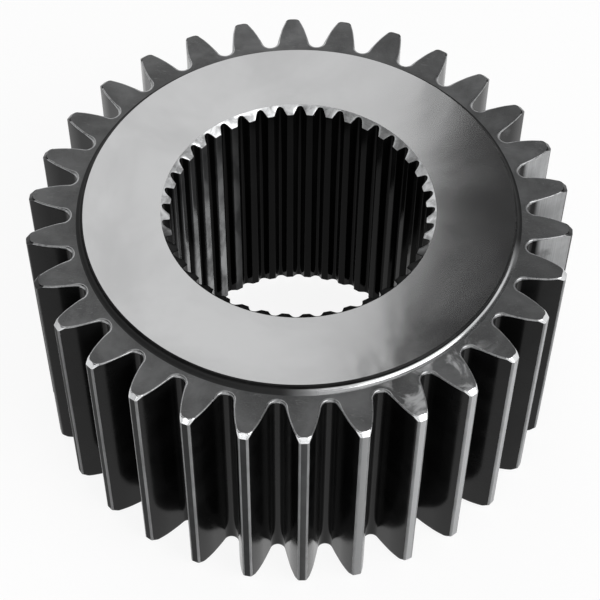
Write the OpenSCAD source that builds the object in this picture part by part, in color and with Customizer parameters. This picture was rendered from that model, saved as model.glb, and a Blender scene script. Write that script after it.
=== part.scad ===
// Sun gear of a planetary drive: one solid steel ring with straight involute teeth outside,
// a raised ground face on each end and an involute spline through the bore.
// The bore axis is Z and the gear stands on its lower hub face at Z = 0.

/* [External teeth] */
// Number of teeth round the outside
teeth = 30; // [28:1:40]
// Module of the teeth: the pitch diameter is module x teeth
module_size = 5.5; // [4.5:0.25:6.5]
// Pressure angle of the teeth, in degrees
pressure_angle = 20; // [18:0.5:25]
// Profile shift factor: below zero the tooth is thinner, and tip and root move inwards
shift_factor = -0.28; // [-0.4:0.02:0.2]
// Height of the tooth above the shifted pitch line, as a factor of the module
addendum_factor = 1.28; // [1:0.02:1.36]
// Depth of the tooth below the shifted pitch line, as a factor of the module
dedendum_factor = 1.27; // [1.19:0.02:1.41]
// Depth below the tips at which the involute ends and the flank runs on straight towards the root
involute_depth = 7; // [5:0.5:9]
// Length of the teeth along the axis
face_width = 87.5; // [40:0.5:120]

/* [Tooth ends] */
// Radial size of the bevel turned on the tooth tips at each end
tip_bevel = 1.4; // [0.5:0.1:2.5]
// Angle of that bevel from the end face, in degrees
tip_bevel_angle = 45; // [30:1:60]
// Edge break along the flanks and the gap bottoms at each end
tooth_edge_break = 0.45; // [0.1:0.05:0.6]

/* [Hub face] */
// How far the rim of the raised ground face lies inside the root circle
hub_inset = 4.2; // [3:0.1:12]
// Height of the hub face above the tooth ends
hub_rise = 2.5; // [2.5:0.1:8]
// Edge break on the rim of the hub face
hub_edge_break = 0.4; // [0.1:0.1:0.5]
// Radius of the concave blend from the hub down to the tooth ends
hub_blend_r = 2; // [0.5:0.1:2]

/* [Bore spline] */
// Number of teeth of the internal spline
spline_teeth = 40; // [32:1:48]
// Module of the spline: one inch divided by its diametral pitch of 12
spline_module = 2.1167; // [1.95:0.0001:2.35]
// Pressure angle of the spline, in degrees
spline_pressure_angle = 30; // [25:0.5:37.5]
// Width of one spline space on its pitch circle
spline_space = 3.1; // [2.8:0.05:3.4]
// Height of the spline teeth inside their pitch circle
spline_addendum = 1.05; // [0.8:0.05:1.4]
// Depth of the spline spaces outside their pitch circle
spline_dedendum = 1.45; // [1:0.05:1.6]
// Angle from the middle of an outer tooth to the middle of the spline tooth beside it, in degrees
spline_turn_angle = -0.65; // [-4.5:0.05:4.5]

/* [Spline lead-in] */
// How far the lead-in cone opens past the bottom of the spline spaces
lead_in_margin = 0.55; // [0.1:0.05:2]
// Angle of the lead-in cone from the hub face, in degrees
lead_in_angle = 35; // [20:1:60]

/* [Hidden] */
$fn = 180;
flank_steps = 5;
root_steps = 6;
spline_flank_steps = 4;
spline_root_steps = 6;
cut_past = 1;
break_past = 0.2;

pitch_r = module_size * teeth / 2;
base_r = pitch_r * cos(pressure_angle);
tip_r = pitch_r + module_size * (addendum_factor + shift_factor);
root_r = pitch_r - module_size * (dedendum_factor - shift_factor);
tooth_pitch_angle = 360 / teeth;
overall_h = face_width + 2 * hub_rise;
tip_bevel_h = tip_bevel * tan(tip_bevel_angle);
hub_r = root_r - hub_inset;

spline_pitch_r = spline_module * spline_teeth / 2;
spline_base_r = spline_pitch_r * cos(spline_pressure_angle);
spline_minor_r = spline_pitch_r - spline_addendum;
spline_major_r = spline_pitch_r + spline_dedendum;
spline_pitch_angle = 360 / spline_teeth;
lead_in_r = spline_major_r + lead_in_margin;

// Involute function of an angle, in degrees
function involute(a) = tan(a) * 180 / PI - a;

// Pressure angle at radius r of the involute of base radius b
function angle_at(r, b) = acos(min(1, b / r));

function polar(r, a) = [r * cos(a), r * sin(a)];

// Half the angle that a tooth takes up at radius r
function tooth_half_angle(r) =
    (90 + 2 * shift_factor * tan(pressure_angle) * 180 / PI) / teeth
    + involute(pressure_angle) - involute(angle_at(r, base_r));

// Half the angle that the gap between two teeth takes up at radius r
function gap_half_angle(r) = tooth_pitch_angle / 2 - tooth_half_angle(r);

// Where the involute ends, and how far the flank leans there from the middle line of the gap
form_r = tip_r - involute_depth;
form_point = polar(form_r, gap_half_angle(form_r));
form_lean = gap_half_angle(form_r) + angle_at(form_r, base_r);

// Radius of the round gap bottom: it stands on the root circle and meets both straight ends of the flanks
bottom_r = (form_point[1] * cos(form_lean) - (form_point[0] - root_r) * sin(form_lean))
    / (1 - sin(form_lean));

// Outline of one gap between two teeth, open past the tip circle: involute flanks and a round bottom
gap_steps = [for (i = [0 : flank_steps]) form_r + (tip_r + cut_past - form_r) * i / flank_steps];
gap_points = concat(
    [for (i = [flank_steps : -1 : 0]) polar(gap_steps[i], -gap_half_angle(gap_steps[i]))],
    [for (i = [0 : root_steps]) [root_r + bottom_r, 0]
        + polar(bottom_r, 270 - form_lean - (180 - 2 * form_lean) * i / root_steps)],
    [for (i = [0 : flank_steps]) polar(gap_steps[i], gap_half_angle(gap_steps[i]))]
);
gap_last = len(gap_points) - 1;

// Direction out of the gap, square to the side of its outline from corner i to the next one
function gap_side_normal(i) =
    let (side = gap_points[min(i, gap_last - 1) + 1] - gap_points[min(i, gap_last - 1)])
    [-side[1], side[0]] / norm(side);

// Corner i of the gap with both sides that meet there moved outwards by d
function widened_corner(i, d) =
    let (before = gap_side_normal(max(i - 1, 0)), after = gap_side_normal(i))
    gap_points[i] + d * (before + after) / (1 + before * after);

// The wedge that breaks the sharp edges of one gap where it meets an end face at Z = 0: it is the gap
// itself, wider by as much as it rises
module gap_edge_break() {
    levels = [-tooth_edge_break - break_past, break_past];
    count = gap_last + 1;
    half = gap_last / 2;
    points = [for (z = levels) for (i = [0 : gap_last])
        concat(widened_corner(i, z + tooth_edge_break), [z])];
    sides = [for (i = [0 : gap_last])
        let (next = (i + 1) % count) [i, next, next + count, i + count]];
    top = [for (i = [0 : half - 2]) [for (k = [i, i + 1, gap_last - 1 - i, gap_last - i]) k + count]];
    bottom = [for (i = [0 : half - 2]) [gap_last - i, gap_last - 1 - i, i + 1, i]];
    middle = [half - 1, half, half + 1];
    polyhedron(points, concat(sides, top, bottom,
        [[for (k = middle) k + count], [middle[2], middle[1], middle[0]]]));
}

// The turned blank: tip circle with bevelled ends, and a hub face standing on each end
module blank() {
    blend_z = face_width / 2;
    top_z = blend_z + hub_rise;
    rotate_extrude() difference() {
        polygon([
            [0, -top_z],
            [hub_r - hub_edge_break, -top_z],
            [hub_r, -top_z + hub_edge_break],
            [hub_r, -blend_z - hub_blend_r],
            [hub_r + hub_blend_r, -blend_z],
            [tip_r - tip_bevel, -blend_z],
            [tip_r, -blend_z + tip_bevel_h],
            [tip_r, blend_z - tip_bevel_h],
            [tip_r - tip_bevel, blend_z],
            [hub_r + hub_blend_r, blend_z],
            [hub_r, blend_z + hub_blend_r],
            [hub_r, top_z - hub_edge_break],
            [hub_r - hub_edge_break, top_z],
            [0, top_z]
        ]);
        for (end = [-1, 1])
            translate([hub_r + hub_blend_r, end * (blend_z + hub_blend_r)]) circle(r = hub_blend_r);
    }
}

// Half the angle that one spline space takes up at radius r
function space_half_angle(r) =
    spline_space / 2 / spline_pitch_r * 180 / PI
    - involute(angle_at(r, spline_base_r)) + involute(spline_pressure_angle);

// End of the round bottom of a spline space of radius r, where its side leans as the flank does
function round_end(r) = [spline_major_r - r, 0] + polar(r, 90 - spline_pressure_angle);

// Radius of the round bottom that meets both flanks, found by halving an interval
function spline_bottom_r(low, high, n) =
    let (mid = (low + high) / 2, end = round_end(mid))
    n == 0 ? mid
    : norm(end) * sin(space_half_angle(norm(end))) > end[1]
        ? spline_bottom_r(mid, high, n - 1)
        : spline_bottom_r(low, mid, n - 1);

spline_root_r = spline_bottom_r(0.2, spline_module, 30);

// One space of the spline: involute flanks and a full round bottom towards the rim
module spline_space_outline() {
    start_r = spline_minor_r - cut_past;
    end_r = norm(round_end(spline_root_r));
    arc = 90 - spline_pressure_angle;
    steps = [for (i = [0 : spline_flank_steps]) start_r + (end_r - start_r) * i / spline_flank_steps];
    right = [for (r = steps) polar(r, -space_half_angle(r))];
    left = [for (i = [spline_flank_steps : -1 : 0]) polar(steps[i], space_half_angle(steps[i]))];
    bottom = [for (i = [1 : spline_root_steps - 1])
        [spline_major_r - spline_root_r, 0]
            + polar(spline_root_r, arc * (2 * i / spline_root_steps - 1))];
    polygon(concat(right, bottom, left));
}

// Bore and spline spaces in plan
module bore_outline() {
    circle(r = spline_minor_r);
    for (i = [0 : spline_teeth - 1])
        rotate((i + 0.5) * spline_pitch_angle + spline_turn_angle) spline_space_outline();
}

// Cone that opens the spline at one end, for the shaft to enter
module lead_in() {
    start_r = spline_minor_r - cut_past;
    depth = (lead_in_r - start_r) * tan(lead_in_angle);
    over = cut_past / tan(lead_in_angle);
    translate([0, 0, overall_h / 2 - depth])
        cylinder(r1 = start_r, r2 = lead_in_r + over, h = depth + cut_past);
}

module sun_gear() {
    color([0.33, 0.34, 0.35])
    translate([0, 0, overall_h / 2])
    difference() {
        blank();
        translate([0, 0, -face_width / 2 - cut_past]) linear_extrude(face_width + 2 * cut_past)
            for (i = [0 : teeth - 1]) rotate((i + 0.5) * tooth_pitch_angle) polygon(gap_points);
        for (end = [0, 1]) mirror([0, 0, end]) translate([0, 0, face_width / 2])
            for (i = [0 : teeth - 1]) rotate((i + 0.5) * tooth_pitch_angle) gap_edge_break();
        translate([0, 0, -overall_h / 2 - cut_past]) linear_extrude(overall_h + 2 * cut_past)
            bore_outline();
        for (end = [0, 1]) mirror([0, 0, end]) lead_in();
    }
}

sun_gear();
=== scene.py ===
"""Sun gear of a planetary drive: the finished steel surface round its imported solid, with a plain studio."""

import math

import bmesh
import bpy
import numpy as np
from mathutils import Matrix, Quaternion, Vector


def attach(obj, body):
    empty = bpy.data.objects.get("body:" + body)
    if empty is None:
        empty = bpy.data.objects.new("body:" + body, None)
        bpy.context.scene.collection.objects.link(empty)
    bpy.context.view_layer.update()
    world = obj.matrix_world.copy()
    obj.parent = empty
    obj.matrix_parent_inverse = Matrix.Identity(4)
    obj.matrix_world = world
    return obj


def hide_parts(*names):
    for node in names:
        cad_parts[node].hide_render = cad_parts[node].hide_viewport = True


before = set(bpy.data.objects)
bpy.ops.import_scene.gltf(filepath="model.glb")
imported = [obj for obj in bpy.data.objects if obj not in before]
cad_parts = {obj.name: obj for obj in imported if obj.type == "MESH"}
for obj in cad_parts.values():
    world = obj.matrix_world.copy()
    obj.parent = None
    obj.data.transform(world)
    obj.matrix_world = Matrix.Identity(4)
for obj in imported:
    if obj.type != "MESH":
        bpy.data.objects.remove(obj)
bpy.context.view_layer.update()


# The external teeth.
# Thirty straight involute teeth, cut and then ground in a forged steel ring. The tips were turned and
# bevelled before that, and every edge at the two ends was broken before the heat treatment.

mm = 0.001
tooth_count = 30
tooth_step = 2 * math.pi / tooth_count
tooth_module = 5.5 * mm
tooth_lean = math.radians(20)
shift_factor = -0.28
addendum_factor = 1.28
dedendum_factor = 1.27
pitch_radius = tooth_module * tooth_count / 2
base_radius = pitch_radius * math.cos(tooth_lean)
tip_radius = pitch_radius + tooth_module * (addendum_factor + shift_factor)
root_radius = pitch_radius - tooth_module * (dedendum_factor - shift_factor)
involute_depth = 7 * mm
face_width = 87.5 * mm
hub_rise = 2.5 * mm
tooth_top = hub_rise + face_width
middle_height = tooth_top - face_width / 2
tip_bevel = 1.4 * mm
edge_break = 0.45 * mm
root_break = 0.9 * mm
tip_corner = 0.5 * mm
corner_growth = 0.45
hub_radius = root_radius - 4.2 * mm
hub_blend = 2 * mm
hub_edge = 0.4 * mm


def involute(lean):
    """Polar angle that an involute has swept where its pressure angle is lean."""
    return math.tan(lean) - lean


def lean_at(radius, base):
    """Pressure angle at a radius of the involute of a base circle."""
    return math.acos(min(1, base / radius))


def polar(radius, angle):
    return np.array([radius * math.cos(angle), radius * math.sin(angle)])


def tooth_half_angle(radius):
    at_pitch = (math.pi / 2 + 2 * shift_factor * math.tan(tooth_lean)) / tooth_count
    return at_pitch + involute(tooth_lean) - involute(lean_at(radius, base_radius))


# The involute ends at the form radius. From there the flank runs on straight, along its own lean from the
# middle line of the gap, to the round bottom. Places are given here with that middle line along X.
form_radius = tip_radius - involute_depth
form_gap = tooth_step / 2 - tooth_half_angle(form_radius)
form_lean = form_gap + lean_at(form_radius, base_radius)
form_point = polar(form_radius, form_gap)
form_normal = np.array([-math.sin(form_lean), math.cos(form_lean)])
bottom_radius = (form_point[1] * math.cos(form_lean)
                 - (form_point[0] - root_radius) * math.sin(form_lean)) / (1 - math.sin(form_lean))
bottom_middle = np.array([root_radius + bottom_radius, 0])

# Steps in half an outline, from the middle of the land to the middle of the gap.
land_steps, corner_steps, flank_steps, run_out_steps, bottom_steps = 2, 3, 11, 3, 8


def rounded(before, corner, after, steps):
    """Points between two places beside a corner, on a curve that rounds the corner off."""
    shares = [i / steps for i in range(1, steps)]
    return [(1 - t) ** 2 * before + 2 * t * (1 - t) * corner + t * t * after for t in shares]


def both_sides(half):
    """A whole outline from its half, which starts on the line of symmetry."""
    half = np.array(half)
    return np.concatenate([half[:0:-1] * [1, -1], half])


def tooth_outline(inset, top_radius, corner):
    """One tooth in plan, from the middle of a gap to the middle of the next, inset by that much metal and
    with the corners of the tip rounded off over that length."""
    turned = inset / base_radius
    tip_angle = tooth_half_angle(top_radius) - turned
    land_angle = tip_angle - corner / top_radius
    flank_top = top_radius - corner
    land_end = polar(top_radius, land_angle)
    flank_end = polar(flank_top, tooth_half_angle(flank_top) - turned)
    half = [polar(top_radius, land_angle * i / land_steps) for i in range(land_steps)]
    half += [land_end, *rounded(land_end, polar(top_radius, tip_angle), flank_end, corner_steps)]
    flank_foot = form_point + inset * form_normal
    form_reach = np.linalg.norm(flank_foot)
    for i in range(flank_steps + 1):
        radius = flank_top + (form_reach - flank_top) * i / flank_steps
        half.append(polar(radius, tooth_half_angle(radius) - turned))
    bottom_start = bottom_middle + (bottom_radius + inset) * form_normal
    in_gap = [flank_foot + (bottom_start - flank_foot) * i / run_out_steps for i in range(1, run_out_steps)]
    for i in range(bottom_steps + 1):
        turn = math.pi / 2 + form_lean + (math.pi / 2 - form_lean) * i / bottom_steps
        in_gap.append(bottom_middle + polar(bottom_radius + inset, turn))
    across = np.array([-math.sin(tooth_step / 2), math.cos(tooth_step / 2)])
    along = np.array([math.cos(tooth_step / 2), math.sin(tooth_step / 2)])
    half += [place[0] * along - place[1] * across for place in in_gap]
    return both_sides(half)


def level_row(outline, height):
    """An outline in plan, or one with a height at each point, as a row of places."""
    return np.column_stack([outline, np.broadcast_to(height, len(outline))])


def circle_row(outline, radius, height):
    """The points of an outline moved along their own directions to a circle."""
    return level_row(outline * (radius / np.linalg.norm(outline, axis=1))[:, None], height)


# Inwards from the first radius the edge break gets deeper, up to its depth in the bottoms of the gaps.
deeper_from, deeper_over = root_radius + 4.5 * mm, 3.5 * mm


def bevel_row(height, inset_share):
    """An outline on the tip bevel or at its edges, at that height, and how far each of its points is on the
    way to the gap's bottom. The inset share is how much of the edge break at the end of the flanks is gone
    there: the break is twice as deep in the bottoms of the gaps, and the corners of the tip get rounder
    towards the end."""
    risen = max(0, height - (tooth_top - tip_bevel))
    corner = tip_corner + corner_growth * risen
    narrow = tooth_outline(edge_break * inset_share, tip_radius - risen, corner)
    wide = tooth_outline(root_break * inset_share, tip_radius - risen, corner)
    way = np.clip((deeper_from - np.linalg.norm(narrow, axis=1)) / deeper_over, 0, 1)[:, None]
    in_bottom = way * way * (3 - 2 * way)
    return narrow + (wide - narrow) * in_bottom, in_bottom[:, 0]


break_steps, blend_steps = 3, 6
upper_rows = [level_row(bevel_row(tooth_top - tip_bevel, 0)[0], tooth_top - tip_bevel)]
for i in range(break_steps + 1):
    turn = math.pi / 2 * i / break_steps
    outline, in_bottom = bevel_row(tooth_top - edge_break * (1 - math.sin(turn)), 1 - math.cos(turn))
    depth = edge_break + (root_break - edge_break) * in_bottom
    upper_rows.append(level_row(outline, tooth_top - depth * (1 - math.sin(turn))))
end_outline = upper_rows[-1][:, :2]
for i in range(blend_steps + 1):
    turn = math.pi / 2 * i / blend_steps
    radius = hub_radius + hub_blend * (1 - math.sin(turn))
    upper_rows.append(circle_row(end_outline, radius, tooth_top + hub_blend * (1 - math.cos(turn))))
hub_top = tooth_top + hub_rise
upper_rows.append(circle_row(end_outline, hub_radius, hub_top - hub_edge))
upper_rows.append(circle_row(end_outline, hub_radius - hub_edge, hub_top))

(FLANK, LAND, LAND_EDGE, BEVEL, BROKEN_EDGE, TOOTH_END, HUB_SIDE, HUB_EDGE,
 SPLINE_SIDE, LEAD_IN, HUB_FACE) = range(11)
columns = len(end_outline)
off_middle = [abs(c - (columns - 2) / 2) for c in range(columns - 1)]
on_land = [away < land_steps for away in off_middle]
on_tip = [away < land_steps + corner_steps for away in off_middle]
end_row = break_steps + 1
hub_side_rows = 4


def tooth_finish(row, column):
    """Which finish the face between two rows has: row 0 is the one just above the tip bevel's lower edge."""
    if row > end_row + hub_side_rows:
        return HUB_EDGE
    if row > end_row:
        return HUB_SIDE
    if row == end_row:
        return TOOTH_END
    if on_tip[column]:
        return BEVEL
    return BROKEN_EDGE if row > 0 else FLANK


def middle_of_tooth(column):
    """Which finish a face between the two tip bevels has."""
    if on_land[column]:
        return LAND
    return LAND_EDGE if on_tip[column] else FLANK


def strip_mesh(name, upper, middle_finish, finish):
    """A mesh of quads from rows of points above the middle and their mirror images below, with a finish
    number on each face."""
    lower = [row * [1, 1, -1] + [0, 0, 2 * middle_height] for row in reversed(upper)]
    rows = lower + upper
    width = len(rows[0])
    faces, finishes = [], []
    for r in range(len(rows) - 1):
        from_middle = r - len(lower) if r >= len(lower) else len(lower) - 2 - r
        for c in range(width - 1):
            faces.append([r * width + c, r * width + c + 1, (r + 1) * width + c + 1, (r + 1) * width + c])
            middle = r == len(lower) - 1
            finishes.append(middle_finish(c) if middle else finish(from_middle, c))
    mesh = bpy.data.meshes.new(name)
    mesh.from_pydata(np.concatenate(rows).tolist(), [], faces)
    mesh.attributes.new("finish", "INT", "FACE").data.foreach_set("value", finishes)
    return mesh


tooth_mesh = strip_mesh("one_tooth", upper_rows, middle_of_tooth, tooth_finish)


def add_node(tree, kind, sockets=None, **settings):
    """A node with its settings, and each named or numbered socket set to a value or fed by an output."""
    node = tree.nodes.new(kind)
    for key, value in settings.items():
        setattr(node, key, value)
    for key, value in (sockets or {}).items():
        if isinstance(value, bpy.types.NodeSocket):
            tree.links.new(value, node.inputs[key])
        else:
            node.inputs[key].default_value = value
    return node


def noise(tree, vector, scale, detail=3.0, roughness=0.5, distortion=0.0):
    sockets = {"Vector": vector, "Scale": scale, "Detail": detail, "Roughness": roughness,
               "Distortion": distortion}
    return add_node(tree, "ShaderNodeTexNoise", sockets).outputs["Fac"]


def stretched(tree, vector, scale):
    return add_node(tree, "ShaderNodeMapping", {"Vector": vector, "Scale": scale}).outputs["Vector"]


def between(tree, value, low, high, to_low=0.0, to_high=1.0):
    """The value taken from one range to another, held at its ends."""
    sockets = {"Value": value, "From Min": low, "From Max": high, "To Min": to_low, "To Max": to_high}
    return add_node(tree, "ShaderNodeMapRange", sockets, interpolation_type="SMOOTHSTEP").outputs["Result"]


def calculated(tree, operation, a, b=0.0, c=0.0):
    return add_node(tree, "ShaderNodeMath", {0: a, 1: b, 2: c}, operation=operation).outputs["Value"]


def product(tree, a, b):
    return calculated(tree, "MULTIPLY", a, b)


def mixed(tree, share, a, b):
    """Colour a going over to colour b as share goes from 0 to 1."""
    return add_node(tree, "ShaderNodeMix", {0: share, 6: a, 7: b}, data_type="RGBA").outputs[2]


def grey(level, tint=0.0):
    """A grey of a steel: level is linear, and a positive tint makes it bluer."""
    return (level * (1 - tint / 2), level, level * (1 + tint / 2), 1)


def greys(tree, value, low, high, at_low, at_high, tint):
    """A grey that goes from one level to another as the value goes from low to high."""
    return mixed(tree, between(tree, value, low, high), grey(at_low, tint), grey(at_high, tint))


def empty_material(name):
    material = bpy.data.materials.new(name)
    material.use_nodes = True
    material.node_tree.nodes.clear()
    return material


def steel(name, paint, metallic=1.0, anisotropic=0.0, specular=0.5):
    """A steel material, bare or, with metallic 0, under its dark oxide. paint takes the tree and the object's
    coordinates, and returns colour, roughness, the height of the surface in metres and, where only a part of
    it is bare, the share that is; that share is a painted highlight."""
    material = empty_material(name)
    tree = material.node_tree
    place = add_node(tree, "ShaderNodeTexCoord").outputs["Object"]
    colour, roughness, height, *painted_highlight_share = paint(tree, place)
    bump = add_node(tree, "ShaderNodeBump", {"Height": height, "Strength": 1.0, "Distance": 1.0})
    sockets = {"Base Color": colour, "Roughness": roughness, "Metallic": painted_highlight_share[0] if painted_highlight_share else metallic,
               "Specular IOR Level": specular, "Normal": bump.outputs["Normal"]}
    if anisotropic:
        tangent = add_node(tree, "ShaderNodeTangent", direction_type="RADIAL", axis="Z")
        sockets.update({"Anisotropic": anisotropic, "Anisotropic Rotation": 0.25,
                        "Tangent": tangent.outputs["Tangent"]})
    shader = add_node(tree, "ShaderNodeBsdfPrincipled", sockets)
    add_node(tree, "ShaderNodeOutputMaterial", {"Surface": shader.outputs["BSDF"]})
    return material


def by_tooth(tree, colour):
    """The colour a little lighter or darker on each tooth."""
    shade = add_node(tree, "ShaderNodeAttribute", attribute_name="tooth_shade").outputs["Fac"]
    return add_node(tree, "ShaderNodeMix", {0: 1.0, 6: colour, 7: shade}, data_type="RGBA",
                    blend_type="MULTIPLY").outputs[2]


def height_of(tree, place):
    return add_node(tree, "ShaderNodeSeparateXYZ", {"Vector": place}).outputs["Z"]


def from_axis(tree, place):
    """Distance of the surface from the gear's axis."""
    parts = add_node(tree, "ShaderNodeSeparateXYZ", {"Vector": place}).outputs
    squares = [product(tree, parts[axis], parts[axis]) for axis in "XY"]
    return calculated(tree, "SQRT", calculated(tree, "ADD", *squares))


def off_direction(tree, place, direction):
    """Angle in radians, from 0 to pi, round the axis between the surface and a direction. The direction is in
    degrees from the gear's +X, and the photograph was taken from -82."""
    turned = add_node(tree, "ShaderNodeMapping",
                      {"Vector": place, "Rotation": (0, 0, -math.radians(direction))})
    parts = add_node(tree, "ShaderNodeSeparateXYZ", {"Vector": turned.outputs["Vector"]}).outputs
    return calculated(tree, "ABSOLUTE", calculated(tree, "ARCTAN2", parts["Y"], parts["X"]))


def on_side(tree, place, direction, near, far):
    """A share for one side of the gear: 1 up to the angle near from a direction, and 0 from far on."""
    return between(tree, off_direction(tree, place, direction), near, far, 1.0, 0.0)


def ground_flank(tree, place):
    """The flanks: fine lines along the tooth from the grinding wheel under a film of oxide and oil, with a
    painted highlight that makes the upper flanks of a few teeth at one side pale."""
    lines = noise(tree, stretched(tree, place, (2600, 2600, 40)), scale=1.0, detail=2.0)
    film = noise(tree, place, scale=70.0, detail=4.0, roughness=0.6)
    oxide = greys(tree, film, 0.35, 0.7, 0.005, 0.012, tint=0.03)
    # Painted highlight: the upper, outer flanks of the teeth near 12 degrees round the axis are painted pale.
    ragged_angle = calculated(tree, "MULTIPLY_ADD", film, 0.2, off_direction(tree, place, 12))
    ragged_height = calculated(tree, "MULTIPLY_ADD", film, 30 * mm, height_of(tree, place))
    wear_and_painted_highlight = between(tree, ragged_angle, 0.38, 0.46, 1.0, 0.0)
    wear_and_painted_highlight = product(tree, wear_and_painted_highlight, between(tree, from_axis(tree, place), 76.5 * mm, 78.5 * mm))
    wear_and_painted_highlight = product(tree, wear_and_painted_highlight, between(tree, ragged_height, 55 * mm, 85 * mm))
    pale = greys(tree, film, 0.35, 0.7, 0.6, 0.8, tint=0.02)
    pale = mixed(tree, between(tree, lines, 0.3, 0.8, 0.0, 0.3), pale, grey(0.3, 0.03))
    roughness = between(tree, film, 0.3, 0.7, 0.13, 0.19)
    return by_tooth(tree, mixed(tree, wear_and_painted_highlight, oxide, pale)), roughness, product(tree, lines, 1e-6)


def land_edge(tree, place):
    """The rounded corners of the tip: painted pale in front as a highlight, and dark round the rest of the
    gear.
    """
    film = noise(tree, place, scale=70.0, detail=4.0, roughness=0.6)
    colour = greys(tree, film, 0.35, 0.7, 0.34, 0.5, tint=0.03)
    # Painted highlight: the corners are pale only on the side towards -77 degrees.
    colour = mixed(tree, on_side(tree, place, -77, near=1.1, far=1.3), grey(0.06, 0.03), colour)
    roughness = between(tree, film, 0.3, 0.7, 0.15, 0.25)
    return by_tooth(tree, colour), roughness, product(tree, film, 1e-6)


def turning_lines(tree, place, pitch):
    """Noise in bands round the axis, as a lathe tool leaves them, across the surface at that pitch."""
    height = height_of(tree, place)
    across = add_node(tree, "ShaderNodeCombineXYZ", {"X": from_axis(tree, place), "Y": height})
    return noise(tree, across.outputs["Vector"], scale=1 / pitch, detail=2.0)


def turned_land(tree, place):
    """The turned tip of a tooth: fine rings round the axis under matt oxide, with a painted highlight that
    makes it near white towards one side."""
    rings = turning_lines(tree, place, 0.25 * mm)
    wear_and_painted_highlight = noise(tree, place, scale=60.0, detail=4.0, roughness=0.6)
    colour = greys(tree, wear_and_painted_highlight, 0.35, 0.7, 0.04, 0.08, tint=0.03)
    # Painted highlight: the lands on the side towards -45 degrees are painted near white.
    colour = mixed(tree, on_side(tree, place, -45, near=0.3, far=0.75), colour, grey(0.85, 0.02))
    colour = mixed(tree, between(tree, rings, 0.4, 0.8, 0.0, 0.15), colour, grey(0.05, 0.03))
    return colour, between(tree, wear_and_painted_highlight, 0.3, 0.7, 0.45, 0.52), product(tree, wear_and_painted_highlight, 1e-5)


def turned_bevel(tree, place):
    """The bevel on the tip, turned last: painted bright in front as a highlight, and painted black as shade
    round the rest of the gear.
    """
    stain = noise(tree, place, scale=120.0, detail=3.0)
    colour = greys(tree, stain, 0.5, 0.8, 0.78, 0.6, tint=0.02)
    # Painted highlight and shade: bright on the side towards -77 degrees, near black round the rest.
    colour = mixed(tree, on_side(tree, place, -77, near=1.1, far=1.3), grey(0.04, 0.02), colour)
    return colour, between(tree, stain, 0.3, 0.7, 0.18, 0.24), product(tree, stain, 2e-7)


def broken_edge(tree, place):
    """Edges rounded by hand and worn bright, with darker nicks."""
    nicks = noise(tree, place, scale=700.0, detail=3.0, roughness=0.6)
    colour = greys(tree, nicks, 0.5, 0.75, 0.36, 0.16, tint=0.02)
    return colour, between(tree, nicks, 0.3, 0.7, 0.26, 0.36), product(tree, nicks, 4e-6)


def scratches(tree, place, scale, turn):
    """Sparse thin curved marks, from 0 to 1."""
    turned = add_node(tree, "ShaderNodeMapping",
                      {"Vector": place, "Rotation": (0, 0, turn), "Scale": (1, 5, 1)})
    line = noise(tree, turned.outputs["Vector"], scale, detail=1.0, roughness=0.4, distortion=0.6)
    nearness = calculated(tree, "ABSOLUTE", calculated(tree, "SUBTRACT", line, 0.5))
    where = between(tree, noise(tree, place, scale * 0.9, detail=2.0), 0.5, 0.62)
    return product(tree, between(tree, nearness, 0.0, 0.012, 1.0, 0.0), where)


def tooth_end(tree, place):
    """The end of the teeth: turned, then matt and cloudy with oxide, with light scuffs from handling, dark
    knocks near the tips and a few pale smears of painted highlight at one side."""
    cloud = noise(tree, place, scale=52.0, detail=5.0, roughness=0.62, distortion=0.4)
    grain = noise(tree, place, scale=2200.0, detail=2.0)
    scuff = calculated(tree, "MAXIMUM", scratches(tree, place, scale=160.0, turn=0.5),
                       scratches(tree, place, scale=190.0, turn=2.1))
    near_tip = between(tree, from_axis(tree, place), 80 * mm, 83 * mm)
    knock = product(tree, scratches(tree, place, scale=330.0, turn=1.2), near_tip)
    # Painted highlight: the pale smears fall only on the side towards -52 degrees.
    painted_highlight_smear = noise(tree, place, scale=85.0, detail=4.0, roughness=0.6, distortion=1.5)
    painted_highlight_smear = product(tree, between(tree, painted_highlight_smear, 0.48, 0.66), on_side(tree, place, -52, near=0.12, far=0.3))
    colour = greys(tree, cloud, 0.32, 0.72, 0.045, 0.135, tint=0.03)
    colour = mixed(tree, between(tree, grain, 0.3, 0.75, 0.0, 0.25), colour, grey(0.14, 0.03))
    colour = mixed(tree, product(tree, scuff, 0.4), colour, grey(0.25, 0.02))
    colour = mixed(tree, product(tree, knock, 0.85), colour, grey(0.01, 0.02))
    colour = mixed(tree, painted_highlight_smear, colour, grey(0.45, 0.02))
    height = calculated(tree, "MULTIPLY_ADD", scuff, -3e-6, product(tree, grain, 4e-6))
    return by_tooth(tree, colour), between(tree, cloud, 0.3, 0.7, 0.45, 0.34), height


def hub_side(tree, place):
    """The lower part of the round blend at the foot of the hub face: dark, with a painted highlight that makes
    it bright bare metal along one side.
    """
    rings = turning_lines(tree, place, 0.3 * mm)
    cloud = noise(tree, place, scale=90.0, detail=4.0, roughness=0.6)
    # Painted highlight: the blend is pale and metallic only on the side towards -47 degrees.
    painted_highlight_side = on_side(tree, place, -47, near=0.5, far=0.75)
    colour = mixed(tree, painted_highlight_side, grey(0.03, 0.02), greys(tree, cloud, 0.3, 0.7, 0.55, 0.7, tint=0.02))
    return colour, between(tree, cloud, 0.3, 0.7, 0.18, 0.24), product(tree, rings, 2e-7), painted_highlight_side


def hub_edge_paint(tree, place):
    """The top of the blend, the low wall above it and the broken rim of the hub face, painted near black for a
    dark reflection.
    """
    cloud = noise(tree, place, scale=90.0, detail=4.0, roughness=0.6)
    # Painted reflection: near black all round, standing in for the dark surroundings that this wall reflects.
    colour = greys(tree, cloud, 0.3, 0.7, 0.008, 0.02, tint=0.02)
    return colour, between(tree, cloud, 0.3, 0.7, 0.2, 0.3), product(tree, cloud, 1e-6)


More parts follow.
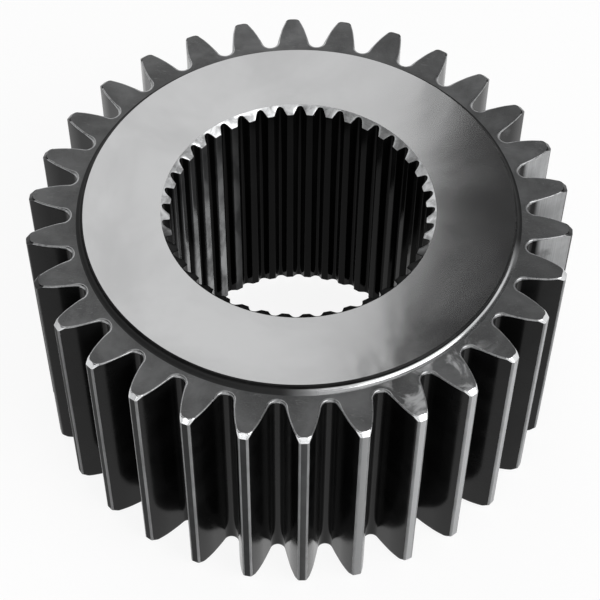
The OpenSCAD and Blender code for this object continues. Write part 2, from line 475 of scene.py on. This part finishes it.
flank_steel = steel("ground_flank", ground_flank, metallic=0.0, specular=0.1)
land_steel = steel("turned_land", turned_land, metallic=0.0, anisotropic=0.9, specular=0.12)
land_edge_steel = steel("land_edge", land_edge, metallic=0.0, specular=0.2)
hub_edge_steel = steel("hub_edge", hub_edge_paint, metallic=0.0, specular=0.1)
bevel_steel = steel("turned_bevel", turned_bevel)
edge_steel = steel("broken_edge", broken_edge)
end_steel = steel("tooth_end", tooth_end, metallic=0.0)
side_steel = steel("hub_side", hub_side, specular=0.1)


def ring_tree(name, finishes):
    """Geometry nodes that set copies of one tooth round the axis, weld them and give each finish its steel.
    finishes has the names of the material inputs by finish number."""
    tree = bpy.data.node_groups.new(name, "GeometryNodeTree")
    tree.interface.new_socket("Geometry", in_out="OUTPUT", socket_type="NodeSocketGeometry")
    for label, kind in [("Geometry", "NodeSocketGeometry"), ("Teeth", "NodeSocketInt"),
                        ("First tooth angle", "NodeSocketFloat"), ("Weld distance", "NodeSocketFloat"),
                        ("Shade spread", "NodeSocketFloat"), ("Seed", "NodeSocketInt"),
                        *[(label, "NodeSocketMaterial") for label in finishes.values()]]:
        tree.interface.new_socket(label, in_out="INPUT", socket_type=kind)
    given = add_node(tree, "NodeGroupInput").outputs
    step = calculated(tree, "DIVIDE", 2 * math.pi, given["Teeth"])
    index = add_node(tree, "GeometryNodeInputIndex").outputs[0]
    angle = calculated(tree, "MULTIPLY_ADD", index, step, given["First tooth angle"])
    turn = add_node(tree, "ShaderNodeCombineXYZ", {"Z": angle}).outputs[0]
    turn = add_node(tree, "FunctionNodeEulerToRotation", {0: turn}).outputs[0]
    points = add_node(tree, "GeometryNodePoints", {"Count": given["Teeth"]}).outputs[0]
    teeth = add_node(tree, "GeometryNodeInstanceOnPoints",
                     {"Points": points, "Instance": given["Geometry"], "Rotation": turn}).outputs[0]
    shade = add_node(tree, "FunctionNodeRandomValue",
                     {2: calculated(tree, "SUBTRACT", 1.0, given["Shade spread"]),
                      3: calculated(tree, "ADD", 1.0, given["Shade spread"]), "Seed": given["Seed"]})
    teeth = add_node(tree, "GeometryNodeStoreNamedAttribute",
                     {"Geometry": teeth, "Name": "tooth_shade", "Value": shade.outputs[1]},
                     data_type="FLOAT", domain="INSTANCE").outputs[0]
    ring = add_node(tree, "GeometryNodeRealizeInstances", {"Geometry": teeth}).outputs[0]
    ring = add_node(tree, "GeometryNodeMergeByDistance",
                    {"Geometry": ring, "Distance": given["Weld distance"]}).outputs[0]
    finish = add_node(tree, "GeometryNodeInputNamedAttribute", {"Name": "finish"}, data_type="INT")
    for number, label in finishes.items():
        chosen = add_node(tree, "FunctionNodeCompare", {2: finish.outputs[0], 3: number},
                          data_type="INT", operation="EQUAL").outputs[0]
        ring = add_node(tree, "GeometryNodeSetMaterial",
                        {"Geometry": ring, "Selection": chosen, "Material": given[label]}).outputs[0]
    add_node(tree, "NodeGroupOutput", {"Geometry": ring})
    return tree


def new_object(name, data):
    """An object in the scene, at the origin and unturned."""
    made = bpy.data.objects.new(name, data)
    bpy.context.scene.collection.objects.link(made)
    return made


def work_in_modifiers(piece):
    """Give a piece the plain mesh that its modifiers make, and take them away."""
    graph = bpy.context.evaluated_depsgraph_get()
    plain = bpy.data.meshes.new_from_object(piece.evaluated_get(graph), preserve_all_data_layers=True,
                                            depsgraph=graph)
    piece.modifiers.clear()
    piece.data = plain


def ring_of(name, mesh, tree, values):
    """The ring that the tree makes of one tooth, as an object with a plain mesh."""
    piece = new_object(name, mesh)
    modifier = piece.modifiers.new("ring", "NODES")
    modifier.node_group = tree
    for item in tree.interface.items_tree:
        if item.in_out == "INPUT" and item.name in values:
            modifier[item.identifier] = values[item.name]
    work_in_modifiers(piece)
    return piece


weld = 0.002 * mm
tooth_tree = ring_tree("teeth_round_axis", {
    FLANK: "Flank", LAND: "Land", LAND_EDGE: "Land edge", BEVEL: "Bevel", BROKEN_EDGE: "Edge",
    TOOTH_END: "Tooth end", HUB_SIDE: "Hub side", HUB_EDGE: "Hub edge"})
outer_ring = ring_of("outer_teeth", tooth_mesh, tooth_tree, {
    "Teeth": tooth_count, "First tooth angle": 0.0, "Weld distance": weld, "Shade spread": 0.15, "Seed": 4,
    "Flank": flank_steel, "Land": land_steel, "Land edge": land_edge_steel, "Bevel": bevel_steel,
    "Edge": edge_steel, "Tooth end": end_steel, "Hub side": side_steel, "Hub edge": hub_edge_steel})


# The bore spline.
# Forty involute teeth broached through the bore for the drive shaft, of 12/24 diametral pitch with round
# bottoms. A cone turned at each end leads the shaft in and cuts the ends of these teeth aslant.

spline_count = 40
spline_step = 2 * math.pi / spline_count
spline_lean = math.radians(30)
spline_pitch_radius = 2.1167 * mm * spline_count / 2
spline_base = spline_pitch_radius * math.cos(spline_lean)
spline_space = 3.1 * mm
spline_minor = spline_pitch_radius - 1.05 * mm
spline_major = spline_pitch_radius + 1.45 * mm
spline_turn = math.radians(-0.65)
lead_in_radius = spline_major + 0.55 * mm
lead_in_slope = math.tan(math.radians(35))
spline_corner = 0.2 * mm
spline_edge = 0.14 * mm
spline_steps = 6


def halved(low, high, too_small, rounds=40):
    """The value between low and high up to which too_small is true."""
    for _ in range(rounds):
        middle = (low + high) / 2
        low, high = (middle, high) if too_small(middle) else (low, middle)
    return low


def space_half_angle(radius):
    at_pitch = spline_space / 2 / spline_pitch_radius
    return at_pitch - involute(lean_at(radius, spline_base)) + involute(spline_lean)


def bottom_end(radius):
    """Where the round bottom of that radius leaves the flank, with the middle of the space along X."""
    return np.array([spline_major - radius, 0]) + polar(radius, math.pi / 2 - spline_lean)


def bottom_too_small(radius):
    end = bottom_end(radius)
    reach = np.linalg.norm(end)
    return reach * math.sin(space_half_angle(reach)) > end[1]


spline_bottom = halved(0.2 * mm, 2 * mm, bottom_too_small)
spline_flank_end = np.linalg.norm(bottom_end(spline_bottom))


def spline_outline(inset):
    """One spline tooth in plan, from the middle of a space to the middle of the next."""
    turned = inset / spline_base
    tip = spline_minor + inset
    flank_start = tip + spline_corner

    def on_flank(radius):
        return polar(radius, spline_step / 2 - space_half_angle(radius) - turned)

    corner = on_flank(tip)
    land_end = polar(tip, math.atan2(corner[1], corner[0]) - spline_corner / tip)
    half = [polar(tip, 0), land_end, *rounded(land_end, corner, on_flank(flank_start), corner_steps)]
    for i in range(spline_steps + 1):
        half.append(on_flank(flank_start + (spline_flank_end - flank_start) * i / spline_steps))
    along = np.array([math.cos(spline_step / 2), math.sin(spline_step / 2)])
    across = np.array([-along[1], along[0]])
    for i in range(1, spline_steps + 1):
        bottom = polar(spline_bottom + inset, (math.pi / 2 - spline_lean) * (1 - i / spline_steps))
        half.append((spline_major - spline_bottom + bottom[0]) * along - bottom[1] * across)
    return both_sides(half)


def cone_height(outline):
    return hub_top - (lead_in_radius - np.linalg.norm(outline, axis=1)) * lead_in_slope


spline_plan, edge_plan = spline_outline(0), spline_outline(spline_edge)
spline_rows = [level_row(spline_plan, cone_height(spline_plan) - spline_edge),
               level_row(edge_plan, cone_height(edge_plan)),
               circle_row(edge_plan, lead_in_radius, hub_top)]
spline_mesh = strip_mesh("one_spline_tooth", spline_rows, lambda column: SPLINE_SIDE,
                         lambda row, column: LEAD_IN if row > 0 else BROKEN_EDGE)


def broached_side(tree, place):
    """Sides of the spline teeth: lines along the bore from the broach, under dark oxide and oil, with a
    painted highlight: the tips pale and metallic at one side, most low down."""
    lines = noise(tree, stretched(tree, place, (1800, 1800, 18)), scale=1.0, detail=3.0)
    film = noise(tree, stretched(tree, place, (90, 90, 40)), scale=1.0, detail=4.0, roughness=0.6)
    oxide = greys(tree, film, 0.35, 0.7, 0.003, 0.006, tint=0.03)
    tip_end, side_start = spline_minor + 0.1 * mm, spline_minor + 0.9 * mm
    tip = between(tree, from_axis(tree, place), tip_end, side_start, 1.0, 0.0)
    # Painted highlight: spline tips towards 150 degrees are painted pale and metallic, strongest below 30 mm.
    painted_highlight_share = product(tree, on_side(tree, place, 150, near=0.25, far=0.6), tip)
    painted_highlight_share = product(tree, painted_highlight_share, between(tree, film, 0.35, 0.6, 0.4, 1.0))
    painted_highlight_share = product(tree, painted_highlight_share, between(tree, height_of(tree, place), 30 * mm, hub_top, 1.0, 0.4))
    colour = by_tooth(tree, mixed(tree, painted_highlight_share, oxide, grey(0.25, 0.03)))
    return colour, between(tree, film, 0.3, 0.7, 0.1, 0.15), product(tree, lines, 2e-6), painted_highlight_share


def lead_in_cone(tree, place):
    """The cone that leads the shaft in: turned bright, with smudges where shafts were tried, and painted black
    round the front half as shade."""
    rings = turning_lines(tree, place, 0.25 * mm)
    smudge = noise(tree, place, scale=260.0, detail=4.0, roughness=0.6, distortion=0.5)
    colour = greys(tree, smudge, 0.42, 0.66, 0.8, 0.4, tint=0.02)
    # Painted shade: the cone is near black on the side towards -90 degrees.
    colour = mixed(tree, on_side(tree, place, -90, near=1.15, far=1.5), colour, grey(0.02, 0.02))
    return colour, between(tree, smudge, 0.3, 0.7, 0.3, 0.42), product(tree, rings, 3e-6)


spline_steel = steel("broached_side", broached_side, specular=0.04)
cone_steel = steel("lead_in_cone", lead_in_cone)
spline_tree = ring_tree("spline_round_bore", {
    SPLINE_SIDE: "Spline side", LEAD_IN: "Lead-in", BROKEN_EDGE: "Edge"})
spline_ring = ring_of("bore_spline", spline_mesh, spline_tree, {
    "Teeth": spline_count, "First tooth angle": spline_turn, "Weld distance": weld, "Shade spread": 0.2,
    "Seed": 9, "Spline side": spline_steel, "Lead-in": cone_steel, "Edge": spline_steel})


# The hub faces.
# The raised ring on each end is ground flat and pale after the heat treatment. It locates the gear between
# its thrust rings, and joins the teeth outside to the spline inside as one solid piece of steel.

def rim_points(piece, radius):
    """Places in order round the rim that a ring has at that radius on the upper hub face."""
    places = np.array([v.co for v in piece.data.vertices])
    reach = np.hypot(places[:, 0], places[:, 1])
    rim = places[(np.abs(reach - radius) < weld) & (np.abs(places[:, 2] - hub_top) < weld)]
    return rim[np.argsort(np.arctan2(rim[:, 1], rim[:, 0]))]


def hub_ring_mesh(outer, inner):
    """Both flat rings between two rims with different numbers of points."""
    places = np.concatenate([outer, inner])
    angles = np.arctan2(places[:, 1], places[:, 0])
    faces, o, n = [], 0, 0
    while o < len(outer) or n < len(inner):
        next_outer = angles[o] if o < len(outer) else math.inf
        next_inner = angles[len(outer) + n] if n < len(inner) else math.inf
        inner_now = len(outer) + n % len(inner)
        if next_outer <= next_inner:
            faces.append([o % len(outer), (o + 1) % len(outer), inner_now])
            o += 1
        else:
            faces.append([o % len(outer), len(outer) + (n + 1) % len(inner), inner_now])
            n += 1
    lower = places * [1, 1, -1] + [0, 0, 2 * middle_height]
    under = [[i + len(places) for i in reversed(face)] for face in faces]
    mesh = bpy.data.meshes.new("hub_faces")
    mesh.from_pydata(np.concatenate([places, lower]).tolist(), [], faces + under)
    finishes = [HUB_FACE] * len(faces + under)
    mesh.attributes.new("finish", "INT", "FACE").data.foreach_set("value", finishes)
    return mesh


def ground_face(tree, place):
    """Ground steel: a fine even grain, faint cloudy marks and a slow wave in what the face reflects."""
    cloud = noise(tree, place, scale=22.0, detail=4.0, roughness=0.55, distortion=0.6)
    grain = noise(tree, place, scale=2600.0, detail=2.0)
    wave = noise(tree, place, scale=18.0, detail=2.5, roughness=0.5, distortion=1.0)
    colour = greys(tree, cloud, 0.3, 0.7, 0.42, 0.5, tint=0.01)
    colour = mixed(tree, between(tree, grain, 0.3, 0.7, 0.0, 0.03), colour, grey(0.3, 0.01))
    return colour, between(tree, cloud, 0.3, 0.7, 0.12, 0.16), product(tree, wave, 2e-4)


face_steel = steel("ground_face", ground_face)
outer_rim = rim_points(outer_ring, hub_radius - hub_edge)
hub_mesh = hub_ring_mesh(outer_rim, rim_points(spline_ring, lead_in_radius))
hub_mesh.materials.append(face_steel)
parts = [outer_ring, spline_ring, new_object("hub_faces", hub_mesh)]
with bpy.context.temp_override(active_object=outer_ring, selected_objects=parts,
                               selected_editable_objects=parts):
    bpy.ops.object.join()
gear = outer_ring
gear.name = gear.data.name = "sun_gear_steel"
welded = bmesh.new()
welded.from_mesh(gear.data)
bmesh.ops.remove_doubles(welded, verts=welded.verts, dist=weld)
bmesh.ops.recalc_face_normals(welded, faces=welded.faces)
for face in welded.faces:
    face.smooth = True
welded.to_mesh(gear.data)
welded.free()
sharp_edge_angle = math.radians(33)
gear.data.set_sharp_from_angle(angle=sharp_edge_angle)
evened = gear.modifiers.new("even_normals", "WEIGHTED_NORMAL")
evened.keep_sharp = True
work_in_modifiers(gear)

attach(gear, "root")
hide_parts("sun_gear")


# The studio.
# A white table top, soft boxes behind, above, in front and at the right, with the camera where the
# photograph was taken from. None of it belongs to the gear.

table_reach = 40
table_drop = 0.05 * mm
table_glow = 0.9
table_grey = 0.14


def seen_directly(tree):
    """1 for a ray from the camera or by way of a mirroring or clear surface, 0 for one that only lights."""
    ray = add_node(tree, "ShaderNodeLightPath").outputs
    seen = calculated(tree, "MAXIMUM", ray["Is Camera Ray"], ray["Is Glossy Ray"])
    return calculated(tree, "MAXIMUM", seen, ray["Is Transmission Ray"])


floor_paint = empty_material("table_top")
tree = floor_paint.node_tree
glow = add_node(tree, "ShaderNodeEmission",
                {"Color": grey(1.0), "Strength": product(tree, seen_directly(tree), table_glow)})
matt = add_node(tree, "ShaderNodeBsdfDiffuse", {"Color": grey(table_grey)})
both = add_node(tree, "ShaderNodeAddShader", {0: glow.outputs[0], 1: matt.outputs[0]})
add_node(tree, "ShaderNodeOutputMaterial", {"Surface": both.outputs[0]})
floor_mesh = bpy.data.meshes.new("table_top")
floor_mesh.from_pydata([(table_reach * x, table_reach * y, -table_drop)
                        for x, y in [(-1, -1), (1, -1), (1, 1), (-1, 1)]], [], [[0, 1, 2, 3]])
floor_mesh.materials.append(floor_paint)
floor = new_object("table_top", floor_mesh)

photo_turn = math.radians(-7.819)
lamp_distance = 1.2


def in_photo_frame(x, y, z):
    """A place given in the photograph's own directions, with the camera towards -Y."""
    return Matrix.Rotation(-photo_turn, 3, "Z") @ Vector((x, y, z))


def soft_box(name, azimuth, elevation, width, height, brightness, roll=0):
    """An area lamp towards the gear from a direction in degrees. brightness is what a mirror shows of it."""
    lamp = bpy.data.lights.new(name, "AREA")
    lamp.shape, lamp.size, lamp.size_y = "RECTANGLE", width, height
    lamp.energy = brightness * math.pi * width * height
    turn, lift = math.radians(azimuth), math.radians(elevation)
    towards = in_photo_frame(math.cos(turn) * math.cos(lift), math.sin(turn) * math.cos(lift), math.sin(lift))
    box = new_object(name, lamp)
    box.location = lamp_distance * towards + Vector((0, 0, tooth_top))
    facing = towards.to_track_quat("Z", "Y") @ Quaternion((0, 0, 1), math.radians(roll))
    box.rotation_euler = facing.to_euler()


soft_box("back", azimuth=108.5, elevation=45.5, width=0.9, height=1.1, brightness=1.1, roll=-29)
soft_box("overhead", azimuth=-90, elevation=87, width=0.9, height=0.9, brightness=0.6)
soft_box("upper_right", azimuth=-38, elevation=38, width=0.8, height=0.8, brightness=2.8)
soft_box("front", azimuth=-95, elevation=34, width=1.8, height=0.16, brightness=1.7)
soft_box("over_camera", azimuth=-80, elevation=55, width=1.1, height=0.3, brightness=0.9)

# The sky is white low down where it is seen and dimmer where it only lights, and almost black overhead.
seen_sky, lighting_sky, high_sky = 0.9, 0.35, 0.05
sky_fades_from, sky_dark_from = 0.3, 0.65
world = bpy.data.worlds.new("studio")
bpy.context.scene.world = world
world.use_nodes = True
tree = world.node_tree
tree.nodes.clear()
direction = add_node(tree, "ShaderNodeTexCoord").outputs["Generated"]
low_sky = calculated(tree, "MULTIPLY_ADD", seen_directly(tree), seen_sky - lighting_sky, lighting_sky)
strength = between(tree, height_of(tree, direction), sky_fades_from, sky_dark_from, low_sky, high_sky)
sky = add_node(tree, "ShaderNodeBackground", {"Color": grey(1.0), "Strength": strength})
add_node(tree, "ShaderNodeOutputWorld", {"Surface": sky.outputs[0]})

# The camera as fitted to the photograph: lengths in units of 1.1 mm, and the image in pixels.
fit_unit = 1.1 * mm
image_side, focal_pixels = 600, 1873.65
centre_across, centre_down = 233.787, 395.974
camera_distance = 513.186 * fit_unit
camera_rise, camera_roll = math.radians(55.928), math.radians(-2.337)
aimed_at = Vector((-21.023 * fit_unit, -64.271 * fit_unit, tooth_top))
backwards = Vector((0, -math.cos(camera_rise), math.sin(camera_rise)))
right = Vector((1, 0, 0))
up = backwards.cross(right)
rolled_right = math.cos(camera_roll) * right + math.sin(camera_roll) * up
rolled_up = -math.sin(camera_roll) * right + math.cos(camera_roll) * up
axes = Matrix([rolled_right, rolled_up, backwards]).transposed().to_4x4()
stand = Matrix.Translation(aimed_at + camera_distance * backwards) @ axes
camera = new_object("camera", bpy.data.cameras.new("camera"))
camera.matrix_world = Matrix.Rotation(-photo_turn, 4, "Z") @ stand
camera.data.sensor_width = 36
camera.data.lens = focal_pixels / image_side * camera.data.sensor_width
camera.data.shift_x = (image_side / 2 - centre_across) / image_side
camera.data.shift_y = (centre_down - image_side / 2) / image_side
camera.data.clip_start, camera.data.clip_end = 0.01, 100
bpy.context.scene.camera = camera
bpy.context.scene.view_settings.view_transform = "Standard"
